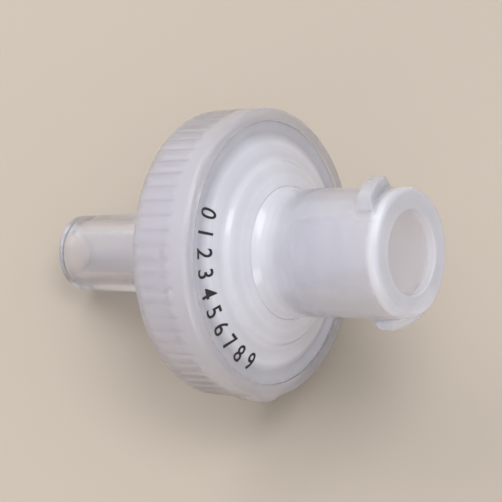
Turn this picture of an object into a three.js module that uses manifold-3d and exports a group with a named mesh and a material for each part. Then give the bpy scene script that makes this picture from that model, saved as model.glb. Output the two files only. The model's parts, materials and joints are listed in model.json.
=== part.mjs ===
// A disposable 13 mm syringe filter: two polypropylene housing halves clamp a PTFE membrane
// at its edge, and a grooved ring moulded round them holds the stack together.
// Millimetres. Each piece is drawn along the flow axis, +Z from the outlet tip to the inlet
// mouth, and the finished filter is then laid down as it rests on a bench.
import * as THREE from "three";
import { mergeVertices } from "three/addons/utils/BufferGeometryUtils.js";
import Module from "manifold-3d";

const wasm = await Module();
wasm.setup();

// ---- Driving dimensions ----
const clearance = 0.02; // between pieces that are moulded or clamped onto each other
const mergeTolerance = 1e-4;

// Luer fittings: a 6 % taper on the diameter, so 3 % on the radius.
const luerTaper = 0.03;
const inletBoreRadius = 2.15; // at the mouth
const inletBoreDepth = 7.55;
const boreLeadIn = 0.1;
const hubRadius = 3.3;
const hubLength = 7.5; // from the foot on the face to the mouth
const mouthRound = 0.27;
const outletTipRadius = 1.99;
const outletTipRound = 0.2;
const nozzleLength = 9.34; // from the tip to the back edge of the ring
const outletBoreRadius = 1.05;

// Lugs of the female luer lock: one piece of each start of a right-handed double thread.
const lugStarts = [126, 299]; // degrees round the hub
const lugEnds = [188, 368];
const lugStartRun = 12; // over which the lug rises to its full height
const lugEndRun = 20;
const lugHeight = 0.62; // over the hub
const lugLead = 5; // rise in a full turn
const lugCrest = 0.7;
const lugBackRun = 0.55;
const lugFrontRun = 0.25;
const lugSetback = 1.7; // from the mouth to the middle of the crest, where the first lug starts
const lugLeastFade = 0.05; // share of its height that an end keeps
const lugRoot = 0.4; // how far the lug's foot reaches into the hub wall
const lugSteps = 10;

// The ring moulded round both halves.
const ringRadius = 7.5; // at its widest
const ringWall = 0.43;
const ringHeight = 3.46;
const ringBackDraft = 0.08; // how much less the radius is at the back edge
const ringWidestShare = 0.58; // of the height, where the ring is widest
const ringFrontRound = 0.34;
const ringBackRound = 0.18;
const ringLip = 0.2; // how far the ring laps over the faces
const lipThickness = 0.4;
const lipStand = 0.13; // how far the lip stands proud of the face

// Grip grooves in the ring, which stop short of its front edge.
const grooveCount = 60;
const grooveWidth = 0.25;
const grooveDepth = 0.1;
const grooveRunout = 0.35;
const frontBand = 0.9; // the plain band in front of them

// The gate vestige, a low oval bump left where the ring's plastic was injected.
const gateAngle = THREE.MathUtils.degToRad(305);
const gateHeight = 0.24;
const gateSink = 0.2; // how far its middle lies under the ring's surface
const gateLength = 1.74; // half of its length along the axis
const gateWidth = 1.24; // half of its width round the ring
const gateSetback = 0.6; // from the front edge to its middle
const gateSteps = 16;

// Membrane and chambers.
const membraneThickness = 0.2;
const rimWidth = 0.53; // of the wall that stands round the membrane's edge
const clampWidth = 0.45; // of the membrane's edge, held between the halves
const throatRadius = 1.2;
const throatSlope = 0.5; // of the bore's conical floor, height to radius
const inletCeiling = 0.55; // chamber height at the throat
const inletEdgeHeight = 0.12; // chamber height at its edge
const supportCount = 4; // rings that hold the membrane up
const supportWidth = 0.45;
const channelDepth = 0.35;
const channelCount = 8;
const channelWidth = 0.5;

// Outer faces: a flat rim, a cone up to a round boss, and the boss's sloping top.
const flatRimWidth = 0.65; // inside the ring's lip
const bossRadius = 4.65;
const bossRound = 0.14;
const bossFlare = 0.2; // how far the boss leans out at its foot
const coneRise = 0.5;
const bossRise = 0.28;
const bossTopRise = 0.42;
const backConeRadius = 3.9;
const backConeDepth = 0.4;
const nozzleFlare = 0.5; // how far the nozzle widens at its foot
const nozzleFootDepth = 0.75;

// ---- What follows from them ----
const roundSteps = grooveCount; // facets in a full turn, one to each rib
const halfFacet = Math.PI / roundSteps;
const ringBackRadius = ringRadius - ringBackDraft;
const ringBore = ringRadius - ringWall;
const flangeRadius = ringBore - clearance;
const lipRadius = flangeRadius - ringLip;
const faceRadius = lipRadius - clearance;
const coneFootRadius = faceRadius - flatRimWidth;
const pocketRadius = flangeRadius - rimWidth;
const membraneRadius = pocketRadius - clearance;
const chamberRadius = membraneRadius - clampWidth; // the wetted area
const ringBack = nozzleLength;
const ringFront = ringBack + ringHeight;
const inletFace = ringFront - lipStand;
const outletFace = ringBack + lipStand;
const membraneMiddle = (ringBack + ringFront) / 2;
const membraneTop = membraneMiddle + membraneThickness / 2;
const membraneBottom = membraneMiddle - membraneThickness / 2;
const inletSeat = membraneTop + clearance;
const outletSeat = membraneBottom - clearance;
const hubFoot = inletFace + coneRise + bossRise + bossTopRise;
const mouth = hubFoot + hubLength;

const point = (radius, height) => new THREE.Vector2(radius, height);

// Points of a round edge, from angle `from` to angle `to` in degrees.
function arc(radius, height, size, from, to, steps = 4) {
  const points = [];
  for (let i = 0; i <= steps; i++) {
    const angle = THREE.MathUtils.degToRad(from + ((to - from) * i) / steps);
    points.push(point(radius + size * Math.cos(angle), height + size * Math.sin(angle)));
  }
  return points;
}

// A solid of revolution about Z, with a flat facet towards +X, the side that it lies on. The
// profile runs anticlockwise in (radius, height).
function turned(profile) {
  const closed = [...profile, profile[0]];
  return new THREE.LatheGeometry(closed, roundSteps, halfFacet).rotateX(Math.PI / 2);
}

function toSolid(geometry) {
  const bare = geometry.clone();
  bare.deleteAttribute("normal");
  bare.deleteAttribute("uv");
  const merged = mergeVertices(bare, mergeTolerance);
  return new wasm.Manifold(
    new wasm.Mesh({
      numProp: 3,
      vertProperties: merged.getAttribute("position").array,
      triVerts: new Uint32Array(merged.index.array),
    }),
  );
}

function toGeometry(solid) {
  const mesh = solid.getMesh();
  const geometry = new THREE.BufferGeometry();
  geometry.setAttribute("position", new THREE.BufferAttribute(mesh.vertProperties, mesh.numProp));
  geometry.setIndex(new THREE.BufferAttribute(mesh.triVerts, 1));
  geometry.computeVertexNormals();
  return geometry;
}

// A closed skin over rings of points, each ring given anticlockwise as seen from the start.
function loft(rings) {
  const size = rings[0].length;
  const positions = rings.flat().flatMap((p) => [p.x, p.y, p.z]);
  const faces = [];
  for (let i = 0; i + 1 < rings.length; i++) {
    for (let j = 0; j < size; j++) {
      const a = i * size + j;
      const b = i * size + ((j + 1) % size);
      faces.push(a, a + size, b, b, a + size, b + size);
    }
  }
  const last = (rings.length - 1) * size;
  for (let j = 1; j + 1 < size; j++) {
    faces.push(0, j, j + 1, last, last + j + 1, last + j);
  }
  const geometry = new THREE.BufferGeometry();
  geometry.setAttribute("position", new THREE.Float32BufferAttribute(positions, 3));
  geometry.setIndex(faces);
  return geometry;
}

const around = (radius, angle, height) =>
  new THREE.Vector3(radius * Math.cos(angle), radius * Math.sin(angle), height);

// One lug: a ridge that climbs along its start of the thread and fades out at both ends.
function lug(number) {
  const start = lugStarts[number];
  const end = lugEnds[number];
  const threadStart = lugStarts[0] + (360 / lugStarts.length) * number;
  const rings = [];
  for (let i = 0; i <= lugSteps; i++) {
    const turn = THREE.MathUtils.lerp(start, end, i / lugSteps);
    const fade = Math.min(1, (turn - start) / lugStartRun, (end - turn) / lugEndRun);
    const top = hubRadius + lugHeight * Math.max(fade, lugLeastFade);
    const middle = mouth - lugSetback + (lugLead * (turn - threadStart)) / 360;
    const foot = hubRadius - lugRoot;
    const angle = THREE.MathUtils.degToRad(turn);
    rings.push([
      around(foot, angle, middle - lugCrest / 2 - lugBackRun),
      around(hubRadius, angle, middle - lugCrest / 2 - lugBackRun),
      around(top, angle, middle - lugCrest / 2),
      around(top, angle, middle + lugCrest / 2),
      around(hubRadius, angle, middle + lugCrest / 2 + lugFrontRun),
      around(foot, angle, middle + lugCrest / 2 + lugFrontRun),
    ]);
  }
  return loft(rings);
}

function inletHousing() {
  const boreFloor = mouth - inletBoreDepth;
  const floorRadius = inletBoreRadius - luerTaper * inletBoreDepth;
  const throatTop = boreFloor - (floorRadius - throatRadius) * throatSlope;
  const bossFoot = inletFace + coneRise;
  const rebate = inletFace + lipStand - lipThickness - clearance;
  const body = toSolid(
    turned([
      // underside: throat, chamber ceiling, clamping face
      point(throatRadius, membraneTop + inletCeiling),
      point(chamberRadius, inletSeat + inletEdgeHeight),
      point(chamberRadius, inletSeat),
      point(flangeRadius, inletSeat),
      // rim, with the rebate that the ring's lip fills
      point(flangeRadius, rebate),
      point(faceRadius, rebate),
      point(faceRadius, inletFace),
      // outer face
      point(coneFootRadius, inletFace),
      point(bossRadius + bossFlare, bossFoot),
      ...arc(bossRadius - bossRound, bossFoot + bossRise - bossRound, bossRound, 30, 70, 3),
      point(hubRadius, hubFoot),
      // hub and mouth
      ...arc(hubRadius - mouthRound, mouth - mouthRound, mouthRound, 0, 90, 3),
      point(inletBoreRadius + boreLeadIn, mouth),
      point(inletBoreRadius, mouth - boreLeadIn),
      point(floorRadius, boreFloor),
      point(throatRadius, throatTop),
    ]),
  );
  let whole = body;
  for (const number of lugStarts.keys()) {
    whole = whole.add(toSolid(lug(number)));
  }
  return whole;
}

function outletHousing() {
  const pitch = (chamberRadius - outletBoreRadius) / supportCount;
  const floor = outletSeat - channelDepth;
  const rebate = outletFace - lipStand + lipThickness + clearance;
  const nozzleFoot = outletFace - nozzleFootDepth;
  const nozzleFootRadius = outletTipRadius + luerTaper * nozzleFoot;
  // Support rings, from the clamped edge inwards.
  const supports = [];
  for (let i = supportCount; i > 0; i--) {
    const outer = outletBoreRadius + pitch * i;
    supports.push(point(outer, outletSeat), point(outer, floor));
    supports.push(point(outer - pitch + supportWidth, floor));
    supports.push(point(outer - pitch + supportWidth, outletSeat));
  }
  const body = toSolid(
    turned([
      // bore and tip
      point(outletBoreRadius, 0),
      ...arc(outletTipRadius - outletTipRound, outletTipRound, outletTipRound, -90, 0),
      // nozzle, foot and back face
      point(nozzleFootRadius, nozzleFoot),
      point(nozzleFootRadius + nozzleFlare, outletFace - backConeDepth - bossRound),
      point(backConeRadius, outletFace - backConeDepth),
      point(coneFootRadius, outletFace),
      point(faceRadius, outletFace),
      point(faceRadius, rebate),
      point(flangeRadius, rebate),
      // rim that stands round the membrane's edge
      point(flangeRadius, membraneTop),
      point(pocketRadius, membraneTop),
      point(pocketRadius, outletSeat),
      ...supports,
      point(outletBoreRadius, outletSeat),
    ]),
  );
  const channelLength = chamberRadius - outletBoreRadius / 2;
  let whole = body;
  for (let i = 0; i < channelCount; i++) {
    const channel = new THREE.BoxGeometry(channelLength, channelWidth, channelDepth)
      .translate(chamberRadius - channelLength / 2, 0, outletSeat - channelDepth / 2)
      .rotateZ((2 * Math.PI * i) / channelCount);
    whole = whole.subtract(toSolid(channel));
  }
  return whole;
}

function membrane() {
  return new THREE.CylinderGeometry(
    membraneRadius,
    membraneRadius,
    membraneThickness,
    roundSteps,
  )
    .rotateX(Math.PI / 2)
    .translate(0, 0, membraneMiddle);
}

// The ring's outer corners, which also decide how the filter lies.
const ringOutside = [
  ...arc(ringBackRadius - ringBackRound, ringBack + ringBackRound, ringBackRound, -90, 0, 3),
  point(ringRadius, ringBack + ringHeight * ringWidestShare),
  ...arc(ringRadius - ringFrontRound, ringFront - ringFrontRound, ringFrontRound, 0, 90),
];

// A slot with a ramp at its end, as seen along the tangent, swept across the groove's width.
function groove(angle) {
  const beyond = ringRadius + grooveDepth;
  const end = ringFront - frontBand;
  const side = new THREE.Shape([
    point(ringBackRadius - grooveDepth, ringBack - clearance),
    point(beyond, ringBack - clearance),
    point(beyond, end),
    point(ringRadius, end),
    point(ringRadius - grooveDepth, end - grooveRunout),
  ]);
  return new THREE.ExtrudeGeometry(side, { depth: grooveWidth, bevelEnabled: false })
    .translate(0, 0, -grooveWidth / 2)
    .rotateX(Math.PI / 2)
    .rotateZ(angle);
}

// The bump keeps behind the ring's front edge, which rounds it off.
function gate() {
  const bump = new THREE.SphereGeometry(1, gateSteps, gateSteps / 2)
    .scale(gateSink + gateHeight, gateWidth, gateLength)
    .translate(ringRadius - gateSink, 0, ringFront - gateSetback)
    .rotateZ(gateAngle);
  const round = ringFrontRound + gateHeight;
  const limit = turned([
    point(ringBore, ringBack),
    point(ringRadius + gateHeight, ringBack),
    ...arc(ringRadius + gateHeight - round, ringFront - round, round, 0, 90),
    point(ringBore, ringFront),
  ]);
  return toSolid(bump).intersect(toSolid(limit));
}

function sealingRing() {
  let ring = toSolid(
    turned([
      point(lipRadius, ringBack),
      ...ringOutside,
      point(lipRadius, ringFront),
      point(lipRadius, ringFront - lipThickness),
      point(ringBore, ringFront - lipThickness),
      point(ringBore, ringBack + lipThickness),
      point(lipRadius, ringBack + lipThickness),
    ]),
  );
  for (let i = 0; i < grooveCount; i++) {
    ring = ring.subtract(toSolid(groove((2 * Math.PI * (i + 0.5)) / grooveCount)));
  }
  return ring.add(gate());
}

// ---- Materials ----
const clearPlastic = new THREE.MeshStandardMaterial({
  color: 0xe6e7ec,
  roughness: 0.28,
  metalness: 0,
  transparent: true,
  opacity: 0.6,
});
const frostedPlastic = new THREE.MeshStandardMaterial({
  color: 0xdcdce0,
  roughness: 0.4,
  metalness: 0,
  transparent: true,
  opacity: 0.75,
});
const whiteMembrane = new THREE.MeshStandardMaterial({
  color: 0xf4f4f6,
  roughness: 0.85,
  metalness: 0,
});

// ---- Assembly ----
function named(name, geometry, material) {
  const mesh = new THREE.Mesh(geometry, material);
  mesh.name = name;
  return mesh;
}

const filter = new THREE.Group();
filter.add(named("inlet_housing", toGeometry(inletHousing()), clearPlastic));
filter.add(named("outlet_housing", toGeometry(outletHousing()), clearPlastic));
filter.add(named("sealing_ring", toGeometry(sealingRing()), frostedPlastic));
filter.add(named("membrane", membrane(), whiteMembrane));

// ---- How it lies ----
// The tip and the back corner of the ring both touch the bench. The tilt is that of the line
// under them: for each point of the tip the steepest line to the ring, and of those the least.
const tipOutside = arc(outletTipRadius - outletTipRound, outletTipRound, outletTipRound, -90, 0);
const slope = (tip, corner) =>
  Math.atan2((corner.x - tip.x) * Math.cos(halfFacet), corner.y - tip.y);
const steepest = (tip) => Math.max(...ringOutside.map((corner) => slope(tip, corner)));
const tilt = Math.min(...tipOutside.map(steepest));
filter.rotation.y = Math.PI / 2 - tilt;

const lying = new THREE.Group();
lying.add(filter);
const box = new THREE.Box3().setFromObject(lying, true);
const middle = box.getCenter(new THREE.Vector3());
filter.position.set(-middle.x, -middle.y, -box.min.z);

export default lying;
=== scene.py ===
"""The looks of a 13 mm syringe filter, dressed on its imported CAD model.

The pieces are drawn in millimetres in the filter's own frame: Z runs along the flow axis from
the outlet tip to the inlet mouth, and +X points to the side that the filter lies on.
"""

import json
import math

import bpy
import numpy as np
from mathutils import Matrix, Vector


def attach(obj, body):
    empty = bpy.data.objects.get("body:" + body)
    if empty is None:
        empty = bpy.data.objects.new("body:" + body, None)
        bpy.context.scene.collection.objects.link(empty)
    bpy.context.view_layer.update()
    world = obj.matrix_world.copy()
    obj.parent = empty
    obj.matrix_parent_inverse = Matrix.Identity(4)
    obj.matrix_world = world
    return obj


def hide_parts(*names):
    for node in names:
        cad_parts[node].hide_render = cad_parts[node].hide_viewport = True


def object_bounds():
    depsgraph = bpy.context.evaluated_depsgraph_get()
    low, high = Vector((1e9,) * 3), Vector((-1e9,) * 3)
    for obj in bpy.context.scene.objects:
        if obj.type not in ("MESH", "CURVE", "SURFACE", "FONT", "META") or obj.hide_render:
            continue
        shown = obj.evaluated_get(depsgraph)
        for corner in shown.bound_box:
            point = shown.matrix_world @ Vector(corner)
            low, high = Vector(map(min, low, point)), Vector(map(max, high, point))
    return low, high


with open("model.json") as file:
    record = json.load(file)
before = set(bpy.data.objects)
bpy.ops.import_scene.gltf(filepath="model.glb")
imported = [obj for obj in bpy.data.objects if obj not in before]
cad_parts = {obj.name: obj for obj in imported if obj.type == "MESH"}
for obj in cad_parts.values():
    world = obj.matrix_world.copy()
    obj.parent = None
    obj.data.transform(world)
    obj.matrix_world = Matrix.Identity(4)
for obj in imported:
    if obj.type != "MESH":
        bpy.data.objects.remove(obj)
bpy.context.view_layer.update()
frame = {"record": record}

MM = 0.001

# ---- Sizes of the real thing, as in the CAD model, in millimetres and degrees ----
CLEARANCE = 0.02
LUER_TAPER = 0.03
BORE_RADIUS = 2.15
BORE_DEPTH = 7.55
HUB_RADIUS = 3.3
HUB_LENGTH = 7.5
HUB_FLARE = 0.13  # how far the hub widens at its foot, only here and not in the CAD model
HUB_FLARE_HEIGHT = 0.5
HUB_CREASE = 0.05  # the fine step under the flare
MOUTH_ROUND = 0.27
TIP_RADIUS = 1.99
TIP_ROUND = 0.2
NOZZLE_LENGTH = 9.34
TIP_BORE_RADIUS = 1.05

LUG_STARTS = 126.0, 299.0
LUG_ENDS = 188.0, 368.0
LUG_START_RUN = 12.0
LUG_END_RUN = 20.0
LUG_HEIGHT = 0.62
LUG_LEAD = 5.0
LUG_CREST = 0.7
LUG_BACK_RUN = 0.55
LUG_FRONT_RUN = 0.25
LUG_SETBACK = 1.7

RING_RADIUS = 7.5
RING_WALL = 0.43
RING_HEIGHT = 3.46
RING_BACK_DRAFT = 0.08
RING_WIDEST_SHARE = 0.58
RING_FRONT_ROUND = 0.34
RING_BACK_ROUND = 0.18
RING_LIP = 0.2
LIP_THICKNESS = 0.4
LIP_STAND = 0.13
SEAM = 0.012  # how far the bond has closed the clearance between ring and face

GROOVE_COUNT = 60
GROOVE_WIDTH = 0.25
GROOVE_DEPTH = 0.1
GROOVE_RUNOUT = 0.35
GROOVE_SPREAD = 1.2  # half-width of the drawn groove, in groove widths, so its flanks are soft
FRONT_BAND = 0.9

GATE_ANGLE = 305.0
GATE_HEIGHT = 0.24
GATE_SINK = 0.2
GATE_LENGTH = 1.74
GATE_WIDTH = 1.24
GATE_SETBACK = 0.6

MEMBRANE_THICKNESS = 0.2
RIM_WIDTH = 0.53
CLAMP_WIDTH = 0.45
THROAT_RADIUS = 1.2
THROAT_SLOPE = 0.5
INLET_CEILING = 0.55
INLET_EDGE_HEIGHT = 0.12
SUPPORT_COUNT = 4
SUPPORT_WIDTH = 0.45
CHANNEL_DEPTH = 0.35
CHANNEL_COUNT = 8
CHANNEL_WIDTH = 0.5

FLAT_RIM_WIDTH = 0.65
BOSS_RADIUS = 4.65
BOSS_ROUND = 0.14
BOSS_FLARE = 0.2
CONE_RISE = 0.5
BOSS_RISE = 0.28
BOSS_TOP_RISE = 0.42
BACK_CONE_RADIUS = 3.9
BACK_CONE_DEPTH = 0.4
NOZZLE_FLARE = 0.5
NOZZLE_FOOT_DEPTH = 0.75

# Numerals printed on the inlet face.
PRINT_COUNT = 10
PRINT_SIZE = 1.25
PRINT_THICKNESS = 0.03
PRINT_SPREAD = 0.012  # how far the ink has spread past the letter shapes
PRINT_RADIUS = 6.32  # to the numerals' feet
PRINT_START = 197.0
PRINT_STEP = 10.0

# Rounds of the moulded edges.
SHARP_EDGE = 0.02
FINE_EDGE = 0.03
BLUNT_EDGE = 0.1
SOFT_EDGE = 0.3
HUB_FLARE_ROUND = 0.8
TIP_BORE_ROUND = 0.12
NOZZLE_FOOT_ROUND = 0.4
SUPPORT_ROOT = 0.04
RING_WAIST_ROUND = 2.0  # where the front's straight side meets the draft
MEMBRANE_ROUND = 0.04

# How finely the skins are drawn.
MEMBRANE_HOLE = 0.001  # keeps the points round the middle apart
HUB_ROWS = 0.06  # longest stretch of the outline under the lugs
RING_ROWS = 0.09
HOUSING_COLUMNS = 360
OUTLET_COLUMNS = 240
MEMBRANE_COLUMNS = 180
GROOVE_COLUMNS = 0.25, 0.5, 0.75, 1.0, 1.3, 1.8  # degrees from a groove's middle

# ---- What follows from them ----
ring_back_radius = RING_RADIUS - RING_BACK_DRAFT
ring_bore = RING_RADIUS - RING_WALL
flange_radius = ring_bore - CLEARANCE
lip_radius = flange_radius - RING_LIP
face_radius = lip_radius - CLEARANCE
cone_foot_radius = face_radius - FLAT_RIM_WIDTH
pocket_radius = flange_radius - RIM_WIDTH
membrane_radius = pocket_radius - CLEARANCE
chamber_radius = membrane_radius - CLAMP_WIDTH
ring_back = NOZZLE_LENGTH
ring_front = ring_back + RING_HEIGHT
inlet_face = ring_front - LIP_STAND
outlet_face = ring_back + LIP_STAND
membrane_middle = (ring_back + ring_front) / 2
membrane_top = membrane_middle + MEMBRANE_THICKNESS / 2
membrane_bottom = membrane_middle - MEMBRANE_THICKNESS / 2
inlet_seat = membrane_top + CLEARANCE
outlet_seat = membrane_bottom - CLEARANCE
boss_foot = inlet_face + CONE_RISE
boss_top = boss_foot + BOSS_RISE
hub_foot = boss_top + BOSS_TOP_RISE
mouth = hub_foot + HUB_LENGTH

# The filter's own frame in the world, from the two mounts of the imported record.
mounts = {mount["name"]: mount for mount in frame["record"]["mounts"]}
flow = Vector(mounts["inlet_mouth"]["axis"]).normalized()
across = Vector((0, 1, 0))
under = across.cross(flow)
tip = Vector(mounts["outlet_tip"]["pos_m"])
tip.y = 0
axes = Matrix((under, across, flow)).transposed().to_4x4()
placed = Matrix.Translation(tip) @ axes @ Matrix.Scale(MM, 4)


# ---- Outlines and skins ----
SIDE_SHARE = 0.45  # of a side, the most that the round at one of its ends takes
WALL_MARGIN = 0.01  # mm, how far inside a wall its points still count as on it
SKIN_MARGIN = 0.001


def rounded(corners, steps=5, support=0.05):
    """A closed outline of (radius, height) points. Each corner is (radius, height, round)."""
    outline = []
    for i, (*place, size) in enumerate(corners):
        here = Vector(place)
        back = Vector(corners[i - 1][:2]) - here
        on = Vector(corners[(i + 1) % len(corners)][:2]) - here
        room = SIDE_SHARE * min(back.length, on.length)
        back.normalize()
        on.normalize()
        half = back.angle(on) / 2
        reach = min(size / math.tan(half), room)
        centre = here + (back + on).normalized() * reach / math.cos(half)
        first = here + back * reach - centre
        last = here + on * reach - centre
        turn = math.pi - 2 * half
        beside = min(support, room - reach) if room > reach else 0
        if beside:
            outline.append(here + back * (reach + beside))
        for step in range(steps + 1):
            t = step / steps
            spread = math.sin((1 - t) * turn), math.sin(t * turn)
            outline.append(centre + (first * spread[0] + last * spread[1]) / math.sin(turn))
        if beside:
            outline.append(here + on * (reach + beside))
    return [tuple(p) for p in outline]


def refined(outline, longest, wanted):
    """The outline with its long stretches split, where wanted(radius, height) says so."""
    fine = []
    for here, on in zip(outline, outline[1:] + outline[:1]):
        parts = math.ceil(math.dist(here, on) / longest)
        for part in range(parts):
            between = tuple(a + (b - a) * part / parts for a, b in zip(here, on))
            if part == 0 or wanted(*between):
                fine.append(between)
    return fine


def piece(name, points, faces, material):
    """A mesh object from points in the filter's own frame."""
    mesh = bpy.data.meshes.new(name)
    mesh.from_pydata(points, [], faces)
    mesh.transform(placed)
    mesh.shade_smooth()
    mesh.materials.append(material)
    thing = bpy.data.objects.new(name, mesh)
    bpy.context.scene.collection.objects.link(thing)
    return thing


def turned(name, outline, angles, material, shape=None):
    """The outline swept round the flow axis. shape(radius, height, angle) moves the skin."""
    radius, angle = np.meshgrid([p[0] for p in outline], angles, indexing="ij")
    height = np.meshgrid([p[1] for p in outline], angles, indexing="ij")[0]
    if shape:
        radius, height = shape(radius, height, angle)
    points = np.stack((radius * np.cos(angle), radius * np.sin(angle), height), -1)
    rows, columns = radius.shape
    index = np.arange(rows * columns).reshape(rows, columns)
    beside = np.roll(index, -1, 1)
    faces = np.stack((index, beside, np.roll(beside, -1, 0), np.roll(index, -1, 0)), -1)
    return piece(name, points.reshape(-1, 3).tolist(), faces.reshape(-1, 4).tolist(), material)


def full_turn(steps):
    return np.linspace(0, 2 * math.pi, steps, endpoint=False)


def ease(low, high, value):
    """0 below low, 1 above high, and smooth between."""
    t = np.clip((value - low) / (high - low), 0, 1)
    return t * t * (3 - 2 * t)


# ---- Materials ----
NOISE_LOW = 0.3  # most of the noise lies between these two
NOISE_HIGH = 0.7
PLASTIC_IOR = 1.45
COAT_ROUGHNESS = 0.1
CLOUD_SIZE = 2.4  # mm
CLOUD_SHADE = 0.98  # how much darker the plastic's clouds are
ROUGHNESS_SPREAD = 0.08
CLOUD_SPREAD = 0.04  # of the milkiness, from cloud to cloud
STREAK_SPREAD = 0.08  # of the milkiness, from streak to streak
PORE_SIZE = 0.25  # mm
PORE_SHADE = 0.95
PORE_DEPTH = 0.01  # mm
FILM_ROUGHNESS = 0.6
CLAMPED_CLEARNESS = 0.85
CLAMP_FADE = 0.01  # of the membrane's radius, where its white turns clear
INK_GRAIN = 0.3  # mm


def new_material(name):
    """A material with one shader, and the surface's place in the filter's own frame, in mm."""
    material = bpy.data.materials.new(name)
    material.use_nodes = True
    nodes = material.node_tree.nodes
    local = nodes.new("ShaderNodeMapping")
    local.vector_type = "TEXTURE"
    local.inputs["Location"].default_value = tip
    local.inputs["Rotation"].default_value = axes.to_euler()
    local.inputs["Scale"].default_value = (MM, MM, MM)
    world_place = nodes.new("ShaderNodeTexCoord")
    material.node_tree.links.new(world_place.outputs["Object"], local.inputs["Vector"])
    return material, nodes, material.node_tree.links, nodes["Principled BSDF"], local


def noise(nodes, links, place, size, detail):
    """Noise whose features are about `size` mm across."""
    texture = nodes.new("ShaderNodeTexNoise")
    texture.inputs["Scale"].default_value = 1 / size
    texture.inputs["Detail"].default_value = detail
    links.new(place.outputs["Vector"], texture.inputs["Vector"])
    return texture.outputs["Fac"]


def spread(nodes, links, source, low, high):
    """The noise brought to the range from low to high."""
    scaled = nodes.new("ShaderNodeMapRange")
    scaled.inputs["From Min"].default_value = NOISE_LOW
    scaled.inputs["From Max"].default_value = NOISE_HIGH
    scaled.inputs["To Min"].default_value = low
    scaled.inputs["To Max"].default_value = high
    links.new(source, scaled.inputs["Value"])
    return scaled.outputs["Result"]


def ramp(nodes, links, source, stops):
    """A colour ramp with (position, grey or colour) stops."""
    band = nodes.new("ShaderNodeValToRGB")
    band.color_ramp.interpolation = "EASE"
    elements = band.color_ramp.elements
    while len(elements) < len(stops):
        elements.new(0.5)
    for element, (position, color) in zip(elements, stops):
        element.position = position
        element.color = (*color, 1) if isinstance(color, tuple) else (color, color, color, 1)
    links.new(source, band.inputs["Fac"])
    return band.outputs["Color"]


def math_node(nodes, links, operation, first, second):
    """One operation on two values, each a plain number or another node's output."""
    node = nodes.new("ShaderNodeMath")
    node.operation = operation
    for socket, value in zip(node.inputs, (first, second)):
        if isinstance(value, (int, float)):
            socket.default_value = value
        else:
            links.new(value, socket)
    return node.outputs["Value"]


def relief(nodes, links, shader, source, depth):
    """Fine relief in the shading alone, depth mm deep."""
    bump = nodes.new("ShaderNodeBump")
    bump.inputs["Distance"].default_value = depth * MM
    links.new(source, bump.inputs["Height"])
    links.new(bump.outputs["Normal"], shader.inputs["Normal"])


def radius_node(nodes, links, split):
    """How far the surface is from the flow axis, in mm."""
    squares = [math_node(nodes, links, "POWER", split.outputs[side], 2) for side in "XY"]
    return math_node(nodes, links, "SQRT", math_node(nodes, links, "ADD", *squares), 0)


def plastic(name, color, roughness, gloss, streaks, depth, clearness, thick):
    """Natural polypropylene, milkier where it is thick.

    streaks is how far apart the fine rings lie that the turned mould left on it, and depth
    how deep they are, both in mm. clearness is (height, transmission) pairs, and thick is
    (radius, transmission) pairs. The lower of the two transmissions holds.
    """
    material, nodes, links, shader, local = new_material(name)
    shader.inputs["IOR"].default_value = PLASTIC_IOR
    shader.inputs["Coat Weight"].default_value = gloss
    shader.inputs["Coat Roughness"].default_value = COAT_ROUGHNESS
    cloud = noise(nodes, links, local, CLOUD_SIZE, 3)
    shade = tuple(c * CLOUD_SHADE for c in color)
    tint = ramp(nodes, links, cloud, [(0.35, shade), (0.65, color)])
    links.new(tint, shader.inputs["Base Color"])
    smoothest = roughness * (1 - ROUGHNESS_SPREAD)
    roughest = roughness * (1 + ROUGHNESS_SPREAD)
    links.new(spread(nodes, links, cloud, smoothest, roughest), shader.inputs["Roughness"])

    split = nodes.new("ShaderNodeSeparateXYZ")
    links.new(local.outputs["Vector"], split.inputs["Vector"])
    away = radius_node(nodes, links, split)
    along = math_node(nodes, links, "DIVIDE", split.outputs["Z"], mouth)
    outward = math_node(nodes, links, "DIVIDE", away, RING_RADIUS)
    clear = math_node(
        nodes, links, "MINIMUM",
        ramp(nodes, links, along, [(height / mouth, value) for height, value in clearness]),
        ramp(nodes, links, outward, [(radius / RING_RADIUS, value) for radius, value in thick]),
    )

    round_place = nodes.new("ShaderNodeCombineXYZ")
    links.new(away, round_place.inputs["X"])
    links.new(split.outputs["Z"], round_place.inputs["Z"])
    rings = noise(nodes, links, round_place, streaks, 2)
    uneven = math_node(
        nodes, links, "MULTIPLY",
        spread(nodes, links, cloud, 1 - CLOUD_SPREAD, 1 + CLOUD_SPREAD),
        spread(nodes, links, rings, 1 - STREAK_SPREAD, 1 + STREAK_SPREAD),
    )
    even_milk = math_node(nodes, links, "SUBTRACT", 1, clear)
    milk = math_node(nodes, links, "MULTIPLY", even_milk, uneven)
    through = math_node(nodes, links, "SUBTRACT", 1, milk)
    links.new(through, shader.inputs["Transmission Weight"])
    relief(nodes, links, shader, rings, depth)
    return material


def film(name, color):
    """White microporous film, matt and mottled, pressed clear where the halves clamp it."""
    material, nodes, links, shader, local = new_material(name)
    pores = noise(nodes, links, local, PORE_SIZE, 4)
    shade = tuple(c * PORE_SHADE for c in color)
    tint = ramp(nodes, links, pores, [(0.3, shade), (0.7, color)])
    links.new(tint, shader.inputs["Base Color"])
    split = nodes.new("ShaderNodeSeparateXYZ")
    links.new(local.outputs["Vector"], split.inputs["Vector"])
    share = math_node(nodes, links, "DIVIDE", radius_node(nodes, links, split), membrane_radius)
    edge = chamber_radius / membrane_radius
    clamped = ramp(nodes, links, share, [(edge, 0.0), (edge + CLAMP_FADE, CLAMPED_CLEARNESS)])
    links.new(clamped, shader.inputs["Transmission Weight"])
    shader.inputs["Roughness"].default_value = FILM_ROUGHNESS
    relief(nodes, links, shader, pores, PORE_DEPTH)
    return material


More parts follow.
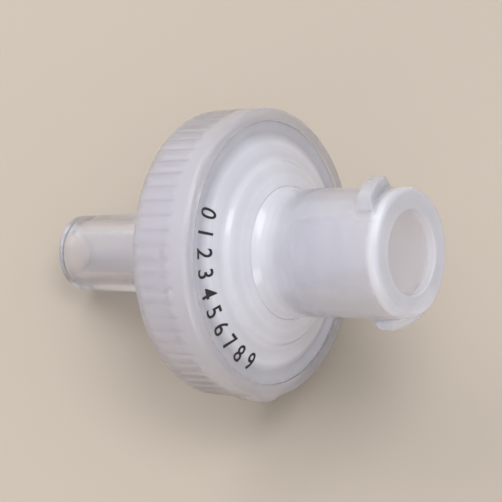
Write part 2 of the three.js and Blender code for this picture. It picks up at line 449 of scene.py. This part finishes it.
def ink(name):
    """Near-black print with a slightly uneven coat."""
    material, nodes, links, shader, local = new_material(name)
    uneven = noise(nodes, links, local, INK_GRAIN, 2)
    coat = [(0.35, (0.006, 0.005, 0.006)), (0.7, (0.022, 0.017, 0.02))]
    links.new(ramp(nodes, links, uneven, coat), shader.inputs["Base Color"])
    links.new(spread(nodes, links, uneven, 0.45, 0.65), shader.inputs["Roughness"])
    return material


housing_plastic = plastic("clear_polypropylene", (0.94, 0.935, 1.0), 0.22, 0.6, 0.7, 0.015, [
    (outlet_face - NOZZLE_FOOT_DEPTH - 0.5, 0.95),
    (outlet_face, 0.42),
    (membrane_top, 0.42),
    (inlet_face - 0.3, 0.62),
    (inlet_face + 0.02, 0.62),
    (inlet_face + 0.18, 0.40),
    (hub_foot, 0.38),
    (hub_foot + 2.5, 0.79),
    (mouth - 0.8, 0.79),
    (mouth - 0.3, 0.50),
], [
    (HUB_RADIUS, 1.0),
    (HUB_RADIUS + 0.3, 0.65),
])
ring_plastic = plastic("milky_polypropylene", (0.98, 0.955, 0.99), 0.315, 0.3, 0.25, 0.03, [
    (ring_front - FRONT_BAND - 0.5, 0.94),
    (ring_front - FRONT_BAND - 0.2, 0.82),
], [(0.0, 1.0), (RING_RADIUS, 1.0)])
membrane_film = film("membrane_film", (0.97, 0.97, 0.99))
print_ink = ink("print_ink")


# ---- Pieces ----
def inlet_housing():
    bore_floor = mouth - BORE_DEPTH
    floor_radius = BORE_RADIUS - LUER_TAPER * BORE_DEPTH
    throat_top = bore_floor - (floor_radius - THROAT_RADIUS) * THROAT_SLOPE
    rebate = inlet_face + LIP_STAND - LIP_THICKNESS - CLEARANCE
    outline = rounded([
        (THROAT_RADIUS, membrane_top + INLET_CEILING, BLUNT_EDGE),
        (chamber_radius, inlet_seat + INLET_EDGE_HEIGHT, FINE_EDGE),
        (chamber_radius, inlet_seat, SHARP_EDGE),
        (flange_radius, inlet_seat, FINE_EDGE),
        (flange_radius, rebate, FINE_EDGE),
        (face_radius, rebate, FINE_EDGE),
        (face_radius, inlet_face, SHARP_EDGE),
        (cone_foot_radius, inlet_face, SOFT_EDGE),
        (BOSS_RADIUS + BOSS_FLARE, boss_foot, SOFT_EDGE),
        (BOSS_RADIUS, boss_top, SOFT_EDGE),
        (HUB_RADIUS + HUB_FLARE + HUB_CREASE, hub_foot, SHARP_EDGE),
        (HUB_RADIUS + HUB_FLARE, hub_foot - HUB_CREASE, SHARP_EDGE),
        (HUB_RADIUS, hub_foot + HUB_FLARE_HEIGHT, HUB_FLARE_ROUND),
        (HUB_RADIUS, mouth, MOUTH_ROUND),
        (BORE_RADIUS, mouth, BLUNT_EDGE),
        (floor_radius, bore_floor, BLUNT_EDGE),
        (THROAT_RADIUS, throat_top, BLUNT_EDGE),
    ])
    lug_bottom = mouth - LUG_SETBACK - LUG_CREST / 2 - LUG_BACK_RUN
    hub_wall = HUB_RADIUS - WALL_MARGIN
    outline = refined(outline, HUB_ROWS, lambda r, z: r > hub_wall and z > lug_bottom)

    def with_lugs(radius, height, angle):
        for k, (start, end) in enumerate(zip(LUG_STARTS, LUG_ENDS)):
            turn = start + (np.degrees(angle) - start) % 360
            thread_start = LUG_STARTS[0] + 360 / len(LUG_STARTS) * k
            middle = mouth - LUG_SETBACK + LUG_LEAD * (turn - thread_start) / 360
            begun = ease(start, start + LUG_START_RUN, turn)
            over = ease(end - LUG_END_RUN, end, turn)
            behind = ease(-LUG_CREST / 2 - LUG_BACK_RUN, -LUG_CREST / 2, height - middle)
            ahead = ease(-LUG_CREST / 2 - LUG_FRONT_RUN, -LUG_CREST / 2, middle - height)
            lift = LUG_HEIGHT * begun * (1 - over) * behind * ahead
            radius = np.where(radius > HUB_RADIUS - MOUTH_ROUND, radius + lift, radius)
        return radius

    def shape(radius, height, angle):
        on_hub = (height > lug_bottom) & (radius > BORE_RADIUS + MOUTH_ROUND)
        return np.where(on_hub, with_lugs(radius, height, angle), radius), height

    angles = full_turn(HOUSING_COLUMNS)
    return turned("inlet_housing_skin", outline, angles, housing_plastic, shape)


def outlet_housing():
    pitch = (chamber_radius - TIP_BORE_RADIUS) / SUPPORT_COUNT
    floor = outlet_seat - CHANNEL_DEPTH
    rebate = outlet_face - LIP_STAND + LIP_THICKNESS + CLEARANCE
    back_cone_top = outlet_face - BACK_CONE_DEPTH
    nozzle_foot = outlet_face - NOZZLE_FOOT_DEPTH
    nozzle_foot_radius = TIP_RADIUS + LUER_TAPER * nozzle_foot
    supports = []
    for i in range(SUPPORT_COUNT, 0, -1):
        outer = TIP_BORE_RADIUS + pitch * i
        inner = outer - pitch + SUPPORT_WIDTH
        supports += [
            (outer, outlet_seat, SHARP_EDGE),
            (outer, floor, SUPPORT_ROOT),
            (inner, floor, SUPPORT_ROOT),
            (inner, outlet_seat, SHARP_EDGE),
        ]
    outline = rounded([
        (TIP_BORE_RADIUS, 0, TIP_BORE_ROUND),
        (TIP_RADIUS, 0, TIP_ROUND),
        (nozzle_foot_radius, nozzle_foot, NOZZLE_FOOT_ROUND),
        (nozzle_foot_radius + NOZZLE_FLARE, back_cone_top - BOSS_ROUND, BLUNT_EDGE),
        (BACK_CONE_RADIUS, back_cone_top, BLUNT_EDGE),
        (cone_foot_radius, outlet_face, SOFT_EDGE),
        (face_radius, outlet_face, SHARP_EDGE),
        (face_radius, rebate, FINE_EDGE),
        (flange_radius, rebate, FINE_EDGE),
        (flange_radius, membrane_top, SHARP_EDGE),
        (pocket_radius, membrane_top, SHARP_EDGE),
        (pocket_radius, outlet_seat, SHARP_EDGE),
        *supports,
        (TIP_BORE_RADIUS, outlet_seat, SHARP_EDGE),
    ])

    # Channels across the supports lead the filtrate to the bore.
    def shape(radius, height, angle):
        period = 2 * math.pi / CHANNEL_COUNT
        aside = (angle + period / 2) % period - period / 2
        within = np.abs(radius * np.sin(aside)) < CHANNEL_WIDTH / 2
        on_supports = (height > floor) & (radius > TIP_BORE_RADIUS) & (radius < chamber_radius)
        return radius, np.where(within & on_supports, floor, height)

    angles = full_turn(OUTLET_COLUMNS)
    return turned("outlet_housing_skin", outline, angles, housing_plastic, shape)


def sealing_ring():
    groove_end = ring_front - FRONT_BAND
    widest = ring_back + RING_HEIGHT * RING_WIDEST_SHARE
    outline = rounded([
        (lip_radius - SEAM, ring_back, FINE_EDGE),
        (ring_back_radius, ring_back, RING_BACK_ROUND),
        (RING_RADIUS, widest, RING_WAIST_ROUND),
        (RING_RADIUS, ring_front, RING_FRONT_ROUND),
        (lip_radius - SEAM, ring_front, FINE_EDGE),
        (lip_radius - SEAM, ring_front - LIP_THICKNESS, SHARP_EDGE),
        (ring_bore, ring_front - LIP_THICKNESS, FINE_EDGE),
        (ring_bore, ring_back + LIP_THICKNESS, FINE_EDGE),
        (lip_radius - SEAM, ring_back + LIP_THICKNESS, SHARP_EDGE),
    ], steps=4)
    outline = refined(outline, RING_ROWS, lambda r, z: r > ring_back_radius - RING_BACK_ROUND)

    # Columns crowd at the grooves, and leave the ribs' tops plain.
    period = 360 / GROOVE_COUNT
    stations = [-offset for offset in reversed(GROOVE_COLUMNS)] + [0, *GROOVE_COLUMNS]
    angles = np.radians([
        period * (k + 0.5) + offset for k in range(GROOVE_COUNT) for offset in stations
    ])

    def shape(radius, height, angle):
        outside = radius > ring_back_radius - RING_BACK_ROUND - SKIN_MARGIN
        away = np.degrees(angle) % period - period / 2
        away = np.abs(away) * math.pi / 180 * RING_RADIUS
        trough = 1 - ease(0, GROOVE_SPREAD * GROOVE_WIDTH, away)
        run = 1 - ease(groove_end - GROOVE_RUNOUT, groove_end, height)
        draft = np.interp(height, [ring_back, widest], [ring_back_radius, RING_RADIUS])
        floor = np.minimum(radius, draft - GROOVE_DEPTH * run)
        cut = radius + (floor - radius) * trough

        turn = (np.degrees(angle) - GATE_ANGLE + 180) % 360 - 180
        u = np.radians(turn) * RING_RADIUS / GATE_WIDTH
        v = (height - ring_front + GATE_SETBACK) / GATE_LENGTH
        dome = (GATE_SINK + GATE_HEIGHT) * np.sqrt(np.clip(1 - u * u - v * v, 0, 1))
        edge = np.clip((radius - RING_RADIUS + RING_FRONT_ROUND) / RING_FRONT_ROUND, 0, 1)
        bump = np.clip(dome - GATE_SINK, 0, None) * edge
        return np.where(outside, cut + bump, radius), height

    return turned("sealing_ring_skin", outline, angles, ring_plastic, shape)


def membrane():
    outline = rounded([
        (MEMBRANE_HOLE, membrane_bottom, 0),
        (membrane_radius, membrane_bottom, MEMBRANE_ROUND),
        (membrane_radius, membrane_top, MEMBRANE_ROUND),
        (MEMBRANE_HOLE, membrane_top, 0),
    ])
    return turned("membrane_disc", outline, full_turn(MEMBRANE_COLUMNS), membrane_film)


def numerals():
    """Plain numerals in an arc on the inlet face, with their tops towards the hub."""
    rise = (
        [cone_foot_radius, BOSS_RADIUS + BOSS_FLARE, BOSS_RADIUS],
        [inlet_face, boss_foot, boss_top],
    )
    points, faces = [], []
    for k in range(PRINT_COUNT):
        text = bpy.data.curves.new("numeral", "FONT")
        text.body = str(k)
        text.size = PRINT_SIZE
        text.align_x = "CENTER"
        text.extrude = PRINT_THICKNESS / 2
        text.offset = PRINT_SPREAD
        thing = bpy.data.objects.new("numeral", text)
        mesh = thing.to_mesh()
        middle = math.radians(PRINT_START + PRINT_STEP * k)
        first = len(points)
        for vertex in mesh.vertices:
            radius = PRINT_RADIUS - vertex.co.y
            angle = middle + vertex.co.x / PRINT_RADIUS
            height = np.interp(-radius, [-r for r in rise[0]], rise[1]) + vertex.co.z
            points.append((radius * math.cos(angle), radius * math.sin(angle), height))
        faces += [[first + v for v in face.vertices] for face in mesh.polygons]
        thing.to_mesh_clear()
    return piece("printed_numerals", points, faces, print_ink)


dressed = (
    (inlet_housing(), "inlet_housing", "housing"),
    (outlet_housing(), "outlet_housing", "housing"),
    (sealing_ring(), "sealing_ring", "ring"),
    (membrane(), "membrane", "membrane"),
    (numerals(), None, "print"),
)
for thing, node, slot in dressed:
    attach(thing, "root")
    if node:
        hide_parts(node)

# ---- Camera ----
VIEW_ANGLE = math.radians(54.06)  # between the flow axis and the line of sight
VIEW_DISTANCE = 0.150
LENS = 207.8
LOOK_AT = 12.53  # height on the flow axis of the point that the framing is set from
FRAME_RIGHT = 0.915 * MM  # where that point stands in the view, from its middle
FRAME_UP = -0.09 * MM
CLIP_START = 0.01

tilt = math.asin(flow.z)
swing = math.acos(math.sin(VIEW_ANGLE) / math.cos(tilt))
rise = math.asin(math.sin(tilt) / math.cos(VIEW_ANGLE))
right = Vector((math.cos(swing), math.sin(swing), 0))
level = Vector((math.sin(swing), -math.cos(swing), 0))
toward = level * math.cos(rise) + Vector((0, 0, math.sin(rise)))
up = toward.cross(right)

camera_data = bpy.data.cameras.new("camera")
camera_data.lens = LENS
camera_data.clip_start = CLIP_START
camera = bpy.data.objects.new("camera", camera_data)
spot = placed @ Vector((0, 0, LOOK_AT))
spot += toward * VIEW_DISTANCE - right * FRAME_RIGHT - up * FRAME_UP
facing = Matrix((right, up, toward)).transposed()
camera.matrix_world = Matrix.Translation(spot) @ facing.to_4x4()
bpy.context.scene.collection.objects.link(camera)
bpy.context.scene.camera = camera

# ---- Floor and light ----
FLOOR_REACH = 1.0  # metres from the middle to each side
FLOOR_CORNERS = (-1, -1), (1, -1), (1, 1), (-1, 1)
FLOOR_COLOR = 0.52, 0.45, 0.37, 1
FLOOR_ROUGHNESS = 0.7

floor_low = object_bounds()[0].z
floor_mesh = bpy.data.meshes.new("floor")
corners = [(x * FLOOR_REACH, y * FLOOR_REACH, floor_low) for x, y in FLOOR_CORNERS]
floor_mesh.from_pydata(corners, [], [(0, 1, 2, 3)])
ground = bpy.data.objects.new("floor", floor_mesh)
bpy.context.scene.collection.objects.link(ground)
floor_material = bpy.data.materials.new("floor")
floor_material.use_nodes = True
floor_shader = floor_material.node_tree.nodes["Principled BSDF"]
floor_shader.inputs["Base Color"].default_value = FLOOR_COLOR
floor_shader.inputs["Roughness"].default_value = FLOOR_ROUGHNESS
floor_mesh.materials.append(floor_material)

# Each lamp's name, its place along right, level and up, its two widths, and its watts.
LAMPS = (
    ("key", (-0.24, -0.2, 0.36), (0.5, 0.18), 0.7),
    ("fill", (-0.2, 0.45, 0.125), (0.4, 0.2), 0.5),
    ("top", (0.08, 0.0, 0.5), (0.24, 0.24), 0.55),
)
for name, (aside, near, above), size, power in LAMPS:
    place = right * aside + level * near + Vector((0, 0, above))
    data = bpy.data.lights.new(name, "AREA")
    data.shape = "ELLIPSE"
    data.size, data.size_y = size
    data.energy = power
    thing = bpy.data.objects.new(name, data)
    thing.location = place
    thing.rotation_euler = (-place).to_track_quat("-Z", "Y").to_euler()
    bpy.context.scene.collection.objects.link(thing)

# A plain white room. The camera, glossy surfaces and clear ones see it at full strength, and
# what it lights directly gets a little less.
ROOM_LIGHT = 0.78
ROOM_SEEN = 1.0
ROOM_COLOR = 0.95, 0.965, 1.0, 1

world = bpy.data.worlds.new("world")
world.use_nodes = True
room_nodes = world.node_tree.nodes
room_links = world.node_tree.links
sky = room_nodes["Background"]
sky.inputs["Color"].default_value = ROOM_COLOR
path = room_nodes.new("ShaderNodeLightPath")
seen = path.outputs["Is Camera Ray"]
for ray in ("Is Glossy Ray", "Is Transmission Ray"):
    seen = math_node(room_nodes, room_links, "MAXIMUM", seen, path.outputs[ray])
room = room_nodes.new("ShaderNodeMapRange")
room.inputs["To Min"].default_value = ROOM_LIGHT
room.inputs["To Max"].default_value = ROOM_SEEN
room_links.new(seen, room.inputs["Value"])
room_links.new(room.outputs["Result"], sky.inputs["Strength"])
bpy.context.scene.world = world

bpy.context.scene.view_settings.view_transform = "Standard"
